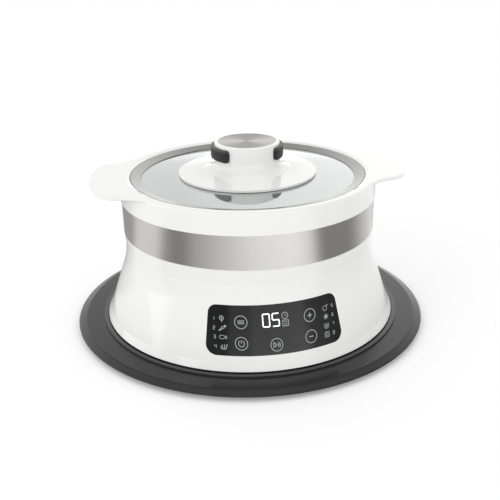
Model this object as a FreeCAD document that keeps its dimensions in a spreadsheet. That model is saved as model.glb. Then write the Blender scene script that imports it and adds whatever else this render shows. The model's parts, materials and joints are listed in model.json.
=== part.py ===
import FreeCAD, Part
import math
import os
import Sketcher

# Electric food steamer. Millimetres, +Z up, the origin on the floor under the middle of the tray.
# The control panel faces -Y and the two handles point along X.

SIZES = {
    # Base tray
    "tray_radius": 185.2,
    "tray_top": 8.3,
    "tray_wall": 3.0,
    "tray_foot": 2.0,
    "tray_foot_radius": 8.0,
    "tray_foot_circle": 125.0,
    "tray_slope_width": 8.4,
    "tray_slope_drop": 2.4,
    "tray_edge_drop": 2.0,
    "tray_edge_inset": 1.7,
    "tray_edge_under": 6.0,
    "tray_skirt": 2.4,
    "lip_radius": 158.4,
    "lip_width": 4.4,
    "lip_rise": 1.5,
    # Housing
    "foot_radius": 153.2,
    "shell_bottom": 11.3,
    "crease_level": 18.5,
    "crease_radius": 149.5,
    "cone_level": 72.7,
    "cone_radius": 130.3,
    "waist_level": 88.0,
    "waist_radius": 128.9,
    "waist_round": 60.0,
    "shell_wall": 3.2,
    "shell_top": 136.8,
    "band_bottom": 103.4,
    "band_radius": 130.1,
    "band_thickness": 0.6,
    "top_opening": 119.2,
    "top_flange": 2.6,
    "cover_overlap": 1.9,
    "cover_thickness": 2.5,
    "cover_underside": 8.0,
    "cover_lip_rise": 5.0,
    "boss_radius": 4.5,
    "boss_circle": 134.0,
    "boss_top": 34.0,
    "boss_web": 3.0,
    "boss_web_rise": 8.0,
    "housing_foot_radius": 9.0,
    "housing_foot_circle": 118.0,
    "vent_circle": 92.0,
    "vent_length": 26.0,
    "vent_width": 3.0,
    "vent_first_angle": 198.0,
    # Fasteners
    "screw_radius": 1.5,
    "screw_head_radius": 3.2,
    "screw_head_height": 2.0,
    "screw_length": 14.0,
    # Water tub
    "tub_wall": 2.2,
    "tub_radius": 116.0,
    "tub_flange_inset": 3.1,
    "tub_flange": 1.5,
    "tub_ledge": 78.2,
    "tub_lower_radius": 104.5,
    "tub_floor": 46.0,
    "tub_floor_radius": 96.0,
    "heater_opening": 41.0,
    # Heater
    "heater_top": 47.4,
    "heater_flange_radius": 48.0,
    "heater_flange": 3.0,
    "heater_round": 1.2,
    "gasket_thickness": 1.0,
    "element_circle": 32.0,
    "element_radius": 3.3,
    "element_leg": 4.6,
    "element_sweep": 300.0,
    "terminal_length": 5.0,
    "terminal_radius": 1.6,
    "clamp_thickness": 1.5,
    "clamp_inner": 43.5,
    "clamp_outer": 59.0,
    "clamp_boss_circle": 54.0,
    "clamp_boss_radius": 3.6,
    "heater_screw_length": 4.5,
    "thermostat_radius": 8.0,
    "thermostat_height": 7.0,
    "thermostat_flange_radius": 11.5,
    "thermostat_flange": 1.0,
    "fuse_radius": 2.0,
    "fuse_length": 13.0,
    "sensor_radius": 2.8,
    "sensor_length": 8.0,
    "steam_ring_radius": 62.0,
    "steam_ring_wall": 1.8,
    "steam_ring_height": 24.0,
    "steam_port_width": 12.0,
    "steam_port_height": 7.0,
    "shield_radius": 62.0,
    "shield_thickness": 0.6,
    "shield_rib_rise": 2.0,
    "shield_rib_width": 2.0,
    # Power board
    "board_thickness": 1.6,
    "power_board_length": 84.0,
    "power_board_width": 44.0,
    "power_board_near": 72.0,
    "board_post_height": 7.0,
    "board_post_radius": 3.0,
    "board_post_margin": 1.0,
    "board_row": 12.0,
    "component_gap": 4.0,
    "relay_length": 19.0,
    "relay_width": 15.0,
    "relay_height": 15.5,
    "transformer_length": 24.0,
    "transformer_width": 20.0,
    "transformer_height": 17.0,
    "film_capacitor_length": 18.0,
    "film_capacitor_width": 8.0,
    "film_capacitor_height": 14.0,
    "capacitor_radius": 4.0,
    "capacitor_height": 12.0,
    "lead_radius": 1.3,
    "lead_bend": 3.0,
    "lead_landing": 6.0,
    "lead_spread": 26.0,
    # Mains inlet
    "inlet_width": 27.0,
    "inlet_height": 19.0,
    "inlet_depth": 20.0,
    "inlet_flange": 4.0,
    "inlet_proud": 1.6,
    "inlet_level": 40.0,
    "inlet_wall": 2.0,
    "inlet_cavity_depth": 17.0,
    "inlet_pin_width": 4.0,
    "inlet_pin_thickness": 2.0,
    "inlet_pin_length": 9.0,
    "inlet_pin_pitch": 7.0,
    # Control panel
    "panel_bottom": 24.6,
    "panel_top": 69.1,
    "panel_bottom_half": 66.5,
    "panel_top_half": 60.0,
    "panel_corner": 8.6,
    "lens_thickness": 1.8,
    "tape_thickness": 0.4,
    "panel_ledge": 3.5,
    "panel_clearance": 0.15,
    "control_board_depth": 17.0,
    "control_board_half": 60.0,
    "control_board_height": 38.0,
    "display_width": 30.0,
    "display_height": 17.0,
    "display_offset": -2.0,
    "display_rise": 8.0,
    "display_depth": 3.0,
    "guide_width": 9.0,
    "guide_height": 28.0,
    "guide_place": 49.0,
    "guide_depth": 12.6,
    "touch_radius": 3.2,
    "touch_column": 32.5,
    "touch_upper": 8.3,
    "touch_lower": -11.7,
    "touch_middle": -14.1,
    "touch_side_depth": 6.2,
    "touch_middle_depth": 2.5,
    "buzzer_radius": 7.0,
    "buzzer_height": 4.5,
    "carrier_depth": 25.0,
    "carrier_thickness": 2.0,
    "carrier_half": 90.0,
    "carrier_post_radius": 2.6,
    "carrier_post_inset": 4.0,
    # Bowl
    "rim_radius": 130.9,
    "rim_top": 158.8,
    "rim_inner": 120.6,
    "rim_slope_top": 124.0,
    "rim_slope_drop": 1.3,
    "rim_round": 2.2,
    "rim_ledge": 144.8,
    "rim_throat": 114.6,
    "rim_under": 3.0,
    "handle_tip": 160.0,
    "handle_thickness": 3.4,
    "handle_end": 168.0,
    "handle_end_half": 49.3,
    "handle_neck_reach": 124.0,
    "handle_neck_half": 61.5,
    "handle_root_reach": 107.0,
    "handle_root_half": 74.0,
    "handle_corner": 20.0,
    "handle_bend": 30.0,
    "handle_round": 1.3,
    "bowl_wall": 1.2,
    "bowl_mouth": 113.0,
    "bowl_foot": 107.0,
    "bowl_floor": 84.4,
    "bowl_opening": 96.0,
    "bowl_flange_radius": 119.8,
    "seal_inner": 121.0,
    "seal_outer": 125.0,
    "seal_depth": 2.0,
    "grid_thickness": 1.2,
    "grid_radius": 104.0,
    "grid_rim_rise": 5.0,
    "grid_hole_radius": 3.0,
    "drip_radius": 114.6,
    "drip_wall": 1.6,
    "drip_height": 4.6,
    "drip_opening": 34.0,
    # Lid
    "lid_radius": 120.0,
    "lid_edge_top": 157.3,
    "lid_ring_inner": 109.5,
    "lid_ring_wall": 1.4,
    "lid_ring_bottom": 148.2,
    "glass_radius": 117.6,
    "glass_crown": 158.7,
    "glass_dome": 1320.0,
    "glass_thickness": 4.0,
    "glass_hole": 4.0,
    "lid_seal_inner": 110.5,
    "lid_seal_outer": 118.2,
    "skirt_radius": 70.5,
    "skirt_edge_bottom": 157.3,
    "skirt_edge_top": 159.4,
    "skirt_rise_radius": 45.0,
    "skirt_rise_top": 162.0,
    "neck_radius": 33.3,
    "neck_foot": 166.5,
    "neck_flare": 9.0,
    "knob_top": 189.8,
    "knob_wall": 2.4,
    "knob_round": 1.6,
    "slot_radius": 29.6,
    "slot_bottom": 174.2,
    "slot_top": 186.8,
    "grip_radius": 36.9,
    "grip_half_angle": 48.0,
    "grip_round": 1.3,
    "grip_corner": 3.2,
    "disc_radius": 29.5,
    "disc_thickness": 1.2,
    "disc_recess": 0.3,
    "washer_radius": 13.0,
    "washer_thickness": 1.0,
    "retainer_radius": 14.0,
    "retainer_thickness": 3.0,
    "knob_screw_radius": 2.5,
    "knob_screw_head": 5.0,
    # Clearances
    "fit": 0.1,
    "cut_past": 3.0,
    "rest_gap": 0.2,
    "lift_gap": 0.4,
}
NEAR = 0.01
QUARTER_TURNS = 4
VENT_PLACES = 10
VENT_START = 33.0
CLAMP_SCREWS = 3
GRIP_SPREAD = 0.6
GRID_HOLES = {1: 6, 2: 12, 3: 18, 4: 24, 5: 30}


class Size:
    """A length of the model: its number, and the formula that binds it to the sheet."""

    def __init__(self, value, formula):
        self.value = value
        self.formula = formula

    def __add__(self, other):
        other = as_size(other)
        return Size(self.value + other.value, f"({self.formula} + {other.formula})")

    def __radd__(self, other):
        return as_size(other) + self

    def __sub__(self, other):
        other = as_size(other)
        return Size(self.value - other.value, f"({self.formula} - {other.formula})")

    def __rsub__(self, other):
        return as_size(other) - self

    def __mul__(self, other):
        other = as_size(other)
        return Size(self.value * other.value, f"({self.formula} * {other.formula})")

    def __rmul__(self, other):
        return as_size(other) * self

    def __truediv__(self, other):
        other = as_size(other)
        return Size(self.value / other.value, f"({self.formula} / {other.formula})")

    def __neg__(self):
        return as_size(0) - self


def as_size(number):
    if isinstance(number, Size):
        return number
    return Size(float(number), f"({float(number):.9f})")


def size(name):
    return Size(float(sheet.get(name)), f"Sizes.{name}")


def make_sheet():
    made = doc.addObject("Spreadsheet::Sheet", "Sizes")
    for row, (name, number) in enumerate(SIZES.items(), start=1):
        made.set(f"A{row}", name)
        made.set(f"B{row}", str(number))
        made.setAlias(f"B{row}", name)
    doc.recompute()
    return made


# Sketches, bodies and primitives bound to the sheet


def bind(thing, path, length):
    thing.setExpression(path, as_size(length).formula)


def outline_sketch(body, plane, outline):
    """A closed outline of straight lines on one of the body's planes, each corner placed by the sheet."""
    sketch = body.newObject("Sketcher::SketchObject", f"{body.Name}_outline")
    base = next(each for each in body.Origin.OriginFeatures if each.Role == plane)
    sketch.AttachmentSupport = [(base, "")]
    sketch.MapMode = "FlatFace"
    places = [(as_size(across), as_size(up)) for across, up in outline]
    corners = [FreeCAD.Vector(across.value, up.value, 0) for across, up in places]
    count = len(corners)
    for index in range(count):
        sketch.addGeometry(Part.LineSegment(corners[index], corners[(index + 1) % count]))
    for index in range(count):
        sketch.addConstraint(Sketcher.Constraint("Coincident", index, 2, (index + 1) % count, 1))
    for index, place in enumerate(places):
        for direction, length, axis in zip(("DistanceX", "DistanceY"), place, (-2, -1)):
            if length.value == 0:
                sketch.addConstraint(Sketcher.Constraint("PointOnObject", index, 1, axis))
                continue
            number = sketch.addConstraint(
                Sketcher.Constraint(direction, -1, 1, index, 1, length.value)
            )
            bind(sketch, f"Constraints[{number}]", length)
    sketch.Visibility = False
    return sketch


def turned(label, outline):
    """A body turned round the vertical axis from its outline of radii and levels."""
    body = doc.addObject("PartDesign::Body", label)
    sketch = outline_sketch(body, "XZ_Plane", outline)
    turn = body.newObject("PartDesign::Revolution", f"{label}_turn")
    turn.Profile = (sketch, [""])
    turn.ReferenceAxis = (sketch, ["V_Axis"])
    turn.Angle = 360
    doc.recompute()
    return body


def padded(label, plane, outline, length, both_sides=False, reverse=False):
    """A body padded from its outline."""
    body = doc.addObject("PartDesign::Body", label)
    sketch = outline_sketch(body, plane, outline)
    pad = body.newObject("PartDesign::Pad", f"{label}_pad")
    pad.Profile = (sketch, [""])
    bind(pad, "Length", length)
    pad.Midplane = both_sides
    pad.Reversed = reverse
    doc.recompute()
    return body


def round_body_edges(body, radius, wanted):
    """Rounds the edges of the body's tip that the test picks out."""
    tip = body.Tip
    names = [f"Edge{number}" for number, edge in enumerate(tip.Shape.Edges, start=1) if wanted(edge)]
    fillet = body.newObject("PartDesign::Fillet", f"{body.Name}_round")
    fillet.Base = (tip, names)
    bind(fillet, "Radius", radius)
    doc.recompute()
    return fillet


def rounded(base, label, radius, wanted):
    """Rounds those edges of a plain solid that the test picks out, by a named size."""
    doc.recompute()
    picked = [number for number, edge in enumerate(base.Shape.Edges, start=1) if wanted(edge)]
    made = doc.addObject("Part::Fillet", label)
    made.Base = base
    made.Edges = [(number, SIZES[radius], SIZES[radius]) for number in picked]
    return made


def is_ring(radius, level):
    """Picks the circular edge of that radius at that level."""

    def test(edge):
        curve = edge.Curve
        if not isinstance(curve, Part.Circle):
            return False
        near_radius = abs(curve.Radius - as_size(radius).value) < NEAR
        return near_radius and abs(curve.Center.z - as_size(level).value) < NEAR

    return test


def runs_along(direction):
    """Picks the straight edges that run along that direction."""

    def test(edge):
        if not isinstance(edge.Curve, Part.Line):
            return False
        return abs(abs(edge.tangentAt(edge.FirstParameter).dot(direction)) - 1) < 1e-6

    return test


def place_at(thing, x, y, z):
    for axis, length in zip("xyz", (x, y, z)):
        bind(thing, f".Placement.Base.{axis}", length)


def cylinder(name, radius, height, x=0, y=0, z=0):
    made = doc.addObject("Part::Cylinder", name)
    bind(made, "Radius", radius)
    bind(made, "Height", height)
    place_at(made, x, y, z)
    return made


def box(name, length, width, height, x=0, y=0, z=0):
    """A box whose lowest corner is at x, y, z."""
    made = doc.addObject("Part::Box", name)
    bind(made, "Length", length)
    bind(made, "Width", width)
    bind(made, "Height", height)
    place_at(made, x, y, z)
    return made


def in_frame(frame, thing, x, y, z, turn=None):
    """Puts a primitive at a place of a tilted frame."""
    shift = FreeCAD.Vector(as_size(x).value, as_size(y).value, as_size(z).value)
    thing.Placement = frame.multiply(FreeCAD.Placement(shift, turn or FreeCAD.Rotation()))
    return thing


def frame_box(frame, name, length, width, height, x, y, z):
    made = doc.addObject("Part::Box", name)
    bind(made, "Length", length)
    bind(made, "Width", width)
    bind(made, "Height", height)
    return in_frame(frame, made, x, y, z)


def frame_post(frame, name, radius, length, x, y, z):
    """A cylinder that runs inwards from x, y, z of a tilted frame."""
    made = doc.addObject("Part::Cylinder", name)
    bind(made, "Radius", radius)
    bind(made, "Height", length)
    return in_frame(frame, made, x, y, z, FreeCAD.Rotation(FreeCAD.Vector(1, 0, 0), -90))


def cut(label, base, *tools):
    for number, tool in enumerate(tools, start=1):
        last = number == len(tools)
        made = doc.addObject("Part::Cut", label if last else f"{label}_cut{number}")
        made.Base = base
        made.Tool = tool
        base = made
    return made


def fuse(label, *pieces):
    made = doc.addObject("Part::MultiFuse", label)
    made.Shapes = list(pieces)
    made.Refine = True
    return made


def common(label, first, second):
    made = doc.addObject("Part::MultiCommon", label)
    made.Shapes = [first, second]
    return made


def group(label, pieces):
    made = doc.addObject("Part::Compound", label)
    made.Links = list(pieces)
    return made


def around(circle, count, first_angle=0.0):
    """Places on a circle, as pairs of lengths, with each place's angle."""
    for number in range(count):
        angle = first_angle + 360.0 * number / count
        turn = math.radians(angle)
        yield circle * round(math.cos(turn), 9), circle * round(math.sin(turn), 9), angle


def turn_about_z(thing, angle):
    thing.Placement.Rotation = FreeCAD.Rotation(FreeCAD.Vector(0, 0, 1), angle)


doc = FreeCAD.newDocument("food_steamer")
sheet = make_sheet()
PARTS = []


def keep(made, label):
    made.Label = label
    PARTS.append(made)
    return made


# Levels and radii that several pieces share

cover_flange_top = size("shell_bottom")
cover_plate_top = size("cover_underside") + size("cover_thickness")
tray_seat = size("tray_foot") + size("tray_wall")
cone_slope = (size("crease_radius") - size("cone_radius")) / (size("cone_level") - size("crease_level"))
tub_flange_top = size("shell_top") + size("fit") + size("tub_flange")
tub_flange_radius = size("band_radius") - size("tub_flange_inset")
heater_flange_top = size("tub_floor") - size("tub_wall") - size("gasket_thickness")
heater_bottom = heater_flange_top - size("heater_flange")
bowl_flange_top = size("rim_ledge") + size("bowl_wall")
grid_seat = size("bowl_floor") + size("bowl_wall")
lens_seat_depth = size("lens_thickness") + size("tape_thickness")
board_level = cover_plate_top + size("board_post_height")
board_top = board_level + size("board_thickness")


def cone_at(level):
    """The housing's outer radius on its cone, between the crease and the waist."""
    return size("crease_radius") - cone_slope * (as_size(level) - size("crease_level"))


def glass_top_at(radius):
    """The level of the glass lid's upper face at a radius."""
    radius = as_size(radius)
    return size("glass_crown") - radius * radius / (2 * size("glass_dome"))


# Base tray


def make_base_tray():
    wall = size("tray_wall")
    top = size("tray_top")
    radius = size("tray_radius")
    slope = radius - size("tray_slope_width")
    lip = size("lip_radius")
    lip_in = lip - size("lip_width")
    hollow = lip + wall
    edge_top = top - size("tray_slope_drop")
    tray = turned("base_tray", [
        (0, size("tray_foot")),
        (hollow, size("tray_foot")),
        (hollow, top - wall),
        (slope, top - wall),
        (slope + wall / 2, size("tray_skirt")),
        (radius - size("tray_edge_under"), size("tray_skirt")),
        (radius - size("tray_edge_inset"), edge_top - size("tray_edge_drop")),
        (radius, edge_top - size("tray_edge_drop") / 2),
        (radius - size("tray_edge_inset"), edge_top),
        (slope, top),
        (lip, top),
        (lip, top + size("lip_rise")),
        (lip_in, top + size("lip_rise")),
        (lip_in, tray_seat),
        (0, tray_seat),
    ])
    keep(tray, "base_tray")
    feet = [
        cylinder(f"tray_foot_{number}", size("tray_foot_radius"), size("tray_foot"), x, y)
        for number, (x, y, _) in enumerate(around(size("tray_foot_circle"), QUARTER_TURNS, 45.0))
    ]
    keep(group("tray_feet", feet), "tray_feet")


# Housing shell, trim band and bottom cover


def shell_profile():
    """The bell's outer line from its foot to the top, as radii and levels."""
    return [
        (size("foot_radius"), size("shell_bottom")),
        (size("crease_radius"), size("crease_level")),
        (size("cone_radius"), size("cone_level")),
        (size("waist_radius"), size("waist_level")),
        (size("band_radius") - size("band_thickness"), size("band_bottom")),
    ]


def make_cone_solid(name, inset):
    """The full cone inside the housing, drawn in from its outer face by the inset."""
    low = size("crease_level")
    high = size("cone_level")
    return turned(name, [
        (0, low),
        (cone_at(low) - inset, low),
        (cone_at(high) - inset, high),
        (0, high),
    ])


def make_panel_prism(name, inset, ledge):
    """A prism with the panel's outline, rounded at its corners, that runs out through the front."""
    low = size("panel_bottom") + inset + ledge
    high = size("panel_top") - inset - ledge
    wide = size("panel_bottom_half") - inset - ledge
    narrow = size("panel_top_half") - inset - ledge
    prism = padded(name, "XZ_Plane", [(-wide, low), (wide, low), (narrow, high), (-narrow, high)],
                   size("tray_radius"))
    corner = size("panel_corner") - inset
    round_body_edges(prism, corner, runs_along(FreeCAD.Vector(0, 1, 0)))
    return prism


def boss_web(name, x, y, angle, level, rise):
    """A web from a screw boss out to the wall."""
    reach = cone_at(level + rise) - size("shell_wall") / 2 - size("boss_circle")
    web = box(name, reach, size("boss_web"), rise)
    half = size("boss_web") / 2
    turn = math.radians(angle)
    place_at(web, x + half * round(math.sin(turn), 9), y - half * round(math.cos(turn), 9), level)
    turn_about_z(web, angle)
    return web


def make_housing_shell():
    outer = shell_profile()
    wall = size("shell_wall")
    top = size("shell_top")
    inner_top = top - size("top_flange")
    recess = size("band_radius") - size("band_thickness")
    inner = [(radius - wall, level) for radius, level in reversed(outer)]
    bell = turned("housing_bell", outer + [
        (recess, top),
        (size("top_opening"), top),
        (size("top_opening"), inner_top),
        (recess - wall, inner_top),
    ] + inner)
    round_body_edges(bell, size("waist_round"), is_ring(size("cone_radius"), size("cone_level")))
    bosses = []
    webs = []
    bores = []
    boss_low = size("cover_underside") + size("cover_thickness") + size("fit")
    boss_rise = size("boss_top") - boss_low
    for number, (x, y, angle) in enumerate(around(size("boss_circle"), QUARTER_TURNS, 45.0)):
        bosses.append(cylinder(f"boss_{number}", size("boss_radius"), boss_rise, x, y, boss_low))
        webs.append(boss_web(f"boss_web_{number}", x, y, angle, size("crease_level"), size("boss_web_rise")))
        bores.append(cylinder(f"boss_bore_{number}", size("screw_radius"), boss_rise, x, y, boss_low))
    solid = fuse("shell_with_bosses", bell, *bosses, *webs)
    seat_ring = cut("panel_seat_ring", make_cone_solid("panel_seat_outer", -size("cut_past")),
                    make_cone_solid("panel_seat_inner", lens_seat_depth))
    seat = common("panel_seat", seat_ring, make_panel_prism("panel_seat_prism", as_size(0), as_size(0)))
    window = make_panel_prism("panel_window", as_size(0), size("panel_ledge"))
    inlet_hole = frame_box(inlet_frame, "inlet_hole", size("inlet_width") + 2 * size("fit"),
                           size("inlet_depth"), size("inlet_height") + 2 * size("fit"),
                           -(size("inlet_width") / 2 + size("fit")), -(4 * size("inlet_wall")),
                           -(size("inlet_height") / 2 + size("fit")))
    keep(cut("housing_shell", solid, seat, window, inlet_hole, *bores), "housing_shell")


def make_trim_band():
    outer = size("band_radius")
    inner = outer - size("band_thickness")
    keep(turned("trim_band", [
        (inner, size("band_bottom")),
        (outer, size("band_bottom")),
        (outer, size("shell_top")),
        (inner, size("shell_top")),
    ]), "trim_band")


def make_bottom_cover():
    low = size("cover_underside")
    top = cover_plate_top
    flange = size("foot_radius") - size("cover_overlap")
    lip_out = size("crease_radius") - size("shell_wall") - 2 * size("fit")
    lip_in = lip_out - size("cover_thickness")
    rib = size("shield_radius") - size("shield_rib_width")
    rib_top = top + size("shield_rib_rise")
    plate = turned("cover_plate", [
        (0, low),
        (flange, low),
        (flange, cover_flange_top),
        (lip_out, cover_flange_top),
        (lip_out, cover_flange_top + size("cover_lip_rise")),
        (lip_in, cover_flange_top + size("cover_lip_rise")),
        (lip_in, top),
        (rib, top),
        (rib, rib_top),
        (rib - size("shield_rib_width"), rib_top),
        (rib - size("shield_rib_width"), top),
        (0, top),
    ])
    holes = []
    for number, (x, y, _) in enumerate(around(size("boss_circle"), QUARTER_TURNS, 45.0)):
        holes.append(cylinder(f"cover_hole_{number}", size("screw_radius") + size("fit"),
                              size("cover_thickness"), x, y, low))
        holes.append(cylinder(f"cover_sink_{number}", size("screw_head_radius") + size("fit"),
                              size("screw_head_height") / 2, x, y, low))
    vents = []
    places = around(size("vent_circle"), VENT_PLACES, SIZES["vent_first_angle"])
    for number, (x, y, angle) in enumerate(places):
        if math.sin(math.radians(angle)) > math.sin(math.radians(VENT_START)):
            continue
        slot = box(f"vent_{number}", size("vent_width"), size("vent_length"), size("cover_thickness"))
        turn = math.radians(angle)
        half_width = size("vent_width") / 2
        half_length = size("vent_length") / 2
        place_at(slot, x - half_width * round(math.cos(turn), 9) + half_length * round(math.sin(turn), 9),
                 y - half_width * round(math.sin(turn), 9) - half_length * round(math.cos(turn), 9), low)
        turn_about_z(slot, angle)
        vents.append(slot)
    posts = [
        cylinder(f"board_post_{number}", size("board_post_radius"), size("board_post_height"), x, y, top)
        for number, (x, y) in enumerate(board_post_places())
    ]
    solid = fuse("cover_with_posts", plate, *posts)
    keep(cut("bottom_cover", solid, *holes, *vents), "bottom_cover")
    screws = [
        screw(f"cover_screw_{number}", x, y, low - size("screw_head_height") / 2)
        for number, (x, y, _) in enumerate(around(size("boss_circle"), QUARTER_TURNS, 45.0))
    ]
    keep(group("cover_screws", screws), "cover_screws")
    feet_rise = low - tray_seat - size("rest_gap")
    feet = [
        cylinder(f"housing_foot_{number}", size("housing_foot_radius"), feet_rise, x, y,
                 tray_seat + size("rest_gap"))
        for number, (x, y, _) in enumerate(around(size("housing_foot_circle"), QUARTER_TURNS, 45.0))
    ]
    keep(group("housing_feet", feet), "housing_feet")


def screw(name, x, y, level, length="screw_length"):
    """A pan-head screw that points up."""
    head = cylinder(f"{name}_head", size("screw_head_radius"), size("screw_head_height"), x, y, level)
    shank = cylinder(f"{name}_shank", size("screw_radius") - size("fit") / 2,
                     size(length), x, y, level + size("screw_head_height"))
    return fuse(name, head, shank)


# Water tub and heater


def make_water_tub():
    wall = size("tub_wall")
    inner = size("tub_radius")
    ledge = size("tub_ledge")
    floor = size("tub_floor")
    keep(turned("water_tub", [
        (size("heater_opening"), floor - wall),
        (size("tub_floor_radius") + wall, floor - wall),
        (size("tub_lower_radius") + wall, ledge - wall),
        (inner + wall, ledge - wall),
        (inner + wall, size("shell_top") + size("fit")),
        (tub_flange_radius, size("shell_top") + size("fit")),
        (tub_flange_radius, tub_flange_top),
        (inner, tub_flange_top),
        (inner, ledge),
        (size("tub_lower_radius"), ledge),
        (size("tub_floor_radius"), floor),
        (size("heater_opening"), floor),
    ]), "water_tub")


def make_heater():
    flange = size("heater_flange_radius")
    dome = size("heater_opening") - 4 * size("fit")
    plate = turned("heater_plate", [
        (0, heater_bottom),
        (flange, heater_bottom),
        (flange, heater_flange_top),
        (dome, heater_flange_top),
        (dome, size("heater_top")),
        (0, size("heater_top")),
    ])
    round_body_edges(plate, size("heater_round"), is_ring(dome, size("heater_top")))
    keep(plate, "heater_plate")
    gasket_top = heater_flange_top + size("gasket_thickness")
    keep(turned("heater_gasket", [
        (size("heater_opening"), heater_flange_top),
        (flange, heater_flange_top),
        (flange, gasket_top),
        (size("heater_opening"), gasket_top),
    ]), "heater_gasket")
    keep(make_element(), "heating_element")
    make_heater_clamp()


def make_element():
    """A tubular ring under the plate, open at the back, where its two cold ends turn down."""
    radius = size("element_radius")
    circle = size("element_circle")
    leg = size("element_leg")
    level = heater_bottom - radius
    ring = doc.addObject("Part::Torus", "element_ring")
    bind(ring, "Radius1", circle)
    bind(ring, "Radius2", radius)
    bind(ring, "Angle3", size("element_sweep"))
    place_at(ring, 0, 0, level)
    gap = (360 - SIZES["element_sweep"]) / 2
    turn_about_z(ring, 90 + gap)
    ends = []
    for number, (x, y) in enumerate(element_ends()):
        ends.append(cylinder(f"element_end_{number}", radius, leg, x, y, level - leg))
        ends.append(cylinder(f"element_pin_{number}", size("terminal_radius"), size("terminal_length"),
                             x, y, level - radius - size("terminal_length")))
    return fuse("heating_element", ring, *ends)


def element_ends():
    circle = size("element_circle")
    gap = math.radians((360 - SIZES["element_sweep"]) / 2)
    for side in (-1, 1):
        yield circle * round(side * math.sin(gap), 9), circle * round(math.cos(gap), 9)


def make_heater_clamp():
    thickness = size("clamp_thickness")
    level = heater_bottom - thickness
    ring = turned("clamp_ring", [
        (size("clamp_inner"), level),
        (size("clamp_outer"), level),
        (size("clamp_outer"), heater_bottom),
        (size("clamp_inner"), heater_bottom),
    ])
    rise = size("tub_floor") - size("tub_wall") - heater_bottom
    spacers = []
    holes = []
    screws = []
    for number, (x, y, _) in enumerate(around(size("clamp_boss_circle"), CLAMP_SCREWS, 30.0)):
        spacers.append(cylinder(f"clamp_spacer_{number}", size("clamp_boss_radius"), rise,
                                x, y, heater_bottom))
        holes.append(cylinder(f"clamp_hole_{number}", size("screw_radius"), rise + thickness, x, y, level))
        screws.append(screw(f"heater_screw_{number}", x, y, level - size("screw_head_height"),
                            "heater_screw_length"))
    solid = fuse("clamp_with_spacers", ring, *spacers)
    keep(cut("heater_clamp", solid, *holes), "heater_clamp")
    keep(group("heater_screws", screws), "heater_screws")


def make_thermal_parts():
    flange = size("thermostat_flange")
    body = turned("thermostat", [
        (0, heater_bottom - flange - size("thermostat_height")),
        (size("thermostat_radius"), heater_bottom - flange - size("thermostat_height")),
        (size("thermostat_radius"), heater_bottom - flange),
        (size("thermostat_flange_radius"), heater_bottom - flange),
        (size("thermostat_flange_radius"), heater_bottom),
        (0, heater_bottom),
    ])
    keep(body, "thermostat")
    fuse_body = doc.addObject("Part::Cylinder", "thermal_fuse")
    bind(fuse_body, "Radius", size("fuse_radius"))
    bind(fuse_body, "Height", size("fuse_length"))
    fuse_body.Placement.Rotation = FreeCAD.Rotation(FreeCAD.Vector(0, 1, 0), 90)
    place_at(fuse_body, -(size("fuse_length") / 2),
             -(size("thermostat_flange_radius") + 3 * size("fuse_radius")),
             heater_bottom - size("fuse_radius"))
    keep(fuse_body, "thermal_fuse")
    sensor_place = size("thermostat_flange_radius") + 2 * size("sensor_radius")
    keep(cylinder("temperature_sensor", size("sensor_radius"), size("sensor_length"), -sensor_place, 0,
                  heater_bottom - size("sensor_length")), "temperature_sensor")


def make_steam_ring():
    outer = size("steam_ring_radius")
    low = size("tub_floor")
    ring = turned("steam_ring_wall_body", [
        (outer - size("steam_ring_wall"), low),
        (outer, low),
        (outer, low + size("steam_ring_height")),
        (outer - size("steam_ring_wall"), low + size("steam_ring_height")),
    ])
    across = 2 * (outer + size("cut_past"))
    half = size("steam_port_width") / 2
    port_rise = size("steam_port_height")
    ports = [
        box("steam_port_x", across, 2 * half, port_rise, -across / 2, -half, low),
        box("steam_port_y", 2 * half, across, port_rise, -half, -across / 2, low),
    ]
    keep(cut("steam_ring", ring, *ports), "steam_ring")


def make_heat_shield():
    level = cover_plate_top + size("shield_rib_rise")
    keep(turned("heat_shield", [
        (0, level),
        (size("shield_radius"), level),
        (size("shield_radius"), level + size("shield_thickness")),
        (0, level + size("shield_thickness")),
    ]), "heat_shield")


# Power board, with its relay, transformer and capacitors


def board_post_places():
    margin = size("board_post_radius") + size("board_post_margin")
    half = size("power_board_length") / 2 - margin
    near = size("power_board_near") + margin
    far = size("power_board_near") + size("power_board_width") - margin
    return [(side * half, y) for side in (-1, 1) for y in (near, far)]


def on_board(name, length, width, height, x, y):
    made = box(name, length, width, height, x, y, board_top)
    return keep(made, name)


def make_power_board():
    near = size("power_board_near")
    half = size("power_board_length") / 2
    row = near + size("board_row")
    keep(box("power_board", size("power_board_length"), size("power_board_width"), size("board_thickness"),
             -half, near, board_level), "power_board")
    on_board("transformer", size("transformer_length"), size("transformer_width"),
             size("transformer_height"), half - size("transformer_length") - size("component_gap") / 2, row)
    on_board("power_relay", size("relay_length"), size("relay_width"), size("relay_height"),
             size("component_gap") - half, row)
    on_board("filter_capacitor", size("film_capacitor_length"), size("film_capacitor_width"),
             size("film_capacitor_height"), -(size("film_capacitor_length") / 2 + size("component_gap")),
             row + 2 * (size("capacitor_radius") + size("component_gap")))
    pitch = size("capacitor_radius") + size("component_gap") / 2
    places = [(side * pitch - size("component_gap"), row) for side in (-1, 1)]
    cans = [
        cylinder(f"capacitor_{number}", size("capacitor_radius"), size("capacitor_height"), x, y, board_top)
        for number, (x, y) in enumerate(places)
    ]
    keep(group("board_capacitors", cans), "board_capacitors")


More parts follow.
